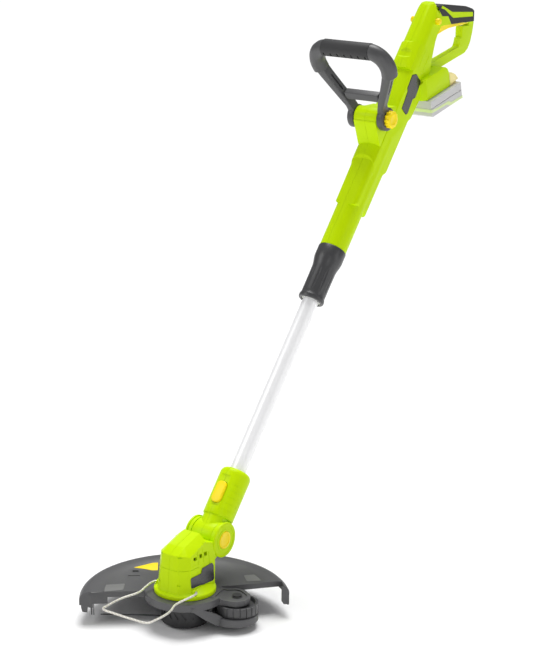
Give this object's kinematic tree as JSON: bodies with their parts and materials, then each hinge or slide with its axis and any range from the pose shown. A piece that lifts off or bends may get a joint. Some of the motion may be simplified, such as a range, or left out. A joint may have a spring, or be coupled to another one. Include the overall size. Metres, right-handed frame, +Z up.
{
  "type": "string trimmer",
  "caption": "Cordless string trimmer with a telescopic pole, tilting and turning motor head, guard, edge wheel, wire guard, loop front handle and slide-on battery.",
  "frame": {"origin": "middle of the lower face of the bump knob, on the motor axis", "axes": "+Z up along the motor axis, +Y towards the user and the rear handle, +X to the right in a view along +Y"},
  "size_m": [0.2654, 0.9056, 0.8527],
  "materials": {
    "lime": "moulded ABS, fine satin gloss",
    "yellow": "moulded, satin gloss",
    "charcoal": "moulded nylon, fine grain",
    "grip_rubber": "overmoulded soft rubber, textured",
    "guard_plastic": "moulded polypropylene, grained",
    "black": "moulded, satin",
    "pack_grey": "moulded, fine grain",
    "pack_latch": "moulded, satin",
    "steel": "zinc plated",
    "wire": "drawn wire, bright",
    "aluminium": "drawn, satin anodised",
    "cell_wrap": "shrink wrap",
    "liner": "acetal, natural"
  },
  "bodies": {
    "handle": {"handle_half_left": "lime", "handle_half_right": "lime", "rear_grip_skin": "grip_rubber", "trigger_pin": "steel", "trigger_spring": "steel", "power_switch": "black", "side_plate": "black", "terminal_block": "black", "tube_collet": "liner"},
    "trigger": {"trigger": "yellow"},
    "lock_off": {"lock_off_button": "yellow"},
    "battery": {"pack_case_lower": "pack_grey", "pack_case_upper": "pack_grey", "pack_cell_1": "cell_wrap", "pack_cell_2": "cell_wrap", "pack_cell_3": "cell_wrap", "pack_cell_4": "cell_wrap", "pack_cell_5": "cell_wrap"},
    "latch": {"pack_latch": "pack_latch"},
    "front_handle": {"front_handle": "charcoal", "front_grip_pad": "grip_rubber", "handle_bolt": "steel", "handle_nut": "steel"},
    "knob": {"handle_knob": "yellow"},
    "sleeve": {"lock_sleeve": "charcoal"},
    "pole": {"pole_tube": "aluminium", "tube_bush": "black", "swivel_ring": "black"},
    "socket": {"socket_half_left": "lime", "socket_half_right": "lime", "rotate_button_spring": "steel"},
    "rotate_button": {"rotate_button": "yellow"},
    "head": {"motor_shell_left": "lime", "motor_shell_right": "lime", "knuckle_pin": "steel", "knuckle_cap": "yellow", "motor_mount": "steel", "motor_can": "steel", "motor_end_cap": "black", "head_plate": "black", "guard_shell": "guard_plastic", "guard_screw_1": "steel", "guard_screw_2": "steel", "line_cutter": "steel", "cutter_screw": "steel", "wheel_bolt": "black"},
    "tilt_button": {"tilt_button": "yellow"},
    "wire_guard": {"wire_guard": "wire"},
    "edge_wheel": {"edge_wheel": "charcoal"},
    "spool": {"motor_shaft": "steel", "spool_cup": "black", "spool_lid": "black", "line_reel": "charcoal", "line_winding": "black", "line_eyelet": "steel", "cutting_line": "black"},
    "bump": {"bump_knob": "black", "reel_spring": "steel"}
  },
  "joints": [
    {"name": "telescope", "type": "slide", "parent": "handle", "child": "pole", "axis": [0, 0.6334, 0.7738], "range_m": [-0.105, 0.12]},
    {"name": "sleeve_twist", "type": "hinge", "parent": "handle", "child": "sleeve", "pos_m": [0, 0.33769, 0.45549], "axis": [0, 0.6334, 0.7738], "range_deg": [-90, 0]},
    {"name": "head_rotate", "type": "hinge", "parent": "pole", "child": "socket", "pos_m": [0, 0.1008, 0.16607], "axis": [0, 0.6334, 0.7738], "range_deg": [0, 180]},
    {"name": "rotate_button_press", "type": "slide", "parent": "socket", "child": "rotate_button", "axis": [0, 0.7738, -0.6334], "range_m": [0, 0.003], "stiffness_N_per_m": 1500, "deforming": ["rotate_button_spring"]},
    {"name": "head_tilt", "type": "hinge", "parent": "socket", "child": "head", "pos_m": [0, 0.059, 0.115], "axis": [1, 0, 0], "range_deg": [-35, 35]},
    {"name": "tilt_button_press", "type": "slide", "parent": "head", "child": "tilt_button", "axis": [-1, 0, 0], "range_m": [0, 0.0028], "stiffness_N_per_m": 1500},
    {"name": "wire_guard_swing", "type": "hinge", "parent": "head", "child": "wire_guard", "pos_m": [0, -0.02, 0.0604], "axis": [1, 0, 0], "range_deg": [-85, 0]},
    {"name": "edge_wheel_spin", "type": "hinge", "parent": "head", "child": "edge_wheel", "pos_m": [0.0684, 0.0358, 0.028], "axis": [0, 0, 1], "continuous": true},
    {"name": "spool_spin", "type": "hinge", "parent": "head", "child": "spool", "pos_m": [0, 0, 0.02], "axis": [0, 0, 1], "continuous": true},
    {"name": "bump_press", "type": "slide", "parent": "spool", "child": "bump", "axis": [0, 0, 1], "range_m": [0, 0.0038], "stiffness_N_per_m": 2500},
    {"name": "trigger_pull", "type": "hinge", "parent": "handle", "child": "trigger", "pos_m": [0, 0.743, 0.815], "axis": [1, 0, 0], "range_deg": [-4.5, 0], "stiffness_Nm_per_rad": 1, "springref_deg": 5.73, "deforming": ["trigger_spring"]},
    {"name": "lock_off_press", "type": "slide", "parent": "handle", "child": "lock_off", "axis": [-1, 0, 0], "range_m": [0, 0.005], "stiffness_N_per_m": 800},
    {"name": "battery_slide", "type": "slide", "parent": "handle", "child": "battery", "axis": [0, 0.9744, 0.225], "range_m": [0, 0.09]},
    {"name": "latch_press", "type": "slide", "parent": "battery", "child": "latch", "axis": [0, 0.225, -0.9744], "range_m": [0, 0.003], "stiffness_N_per_m": 1500},
    {"name": "front_handle_tilt", "type": "hinge", "parent": "handle", "child": "front_handle", "pos_m": [0, 0.467, 0.6865], "axis": [1, 0, 0], "range_deg": [-40, 35]},
    {"name": "knob_turn", "type": "hinge", "parent": "front_handle", "child": "knob", "pos_m": [0.04, 0.467, 0.6865], "axis": [1, 0, 0], "range_deg": [0, 300]}
  ]
}
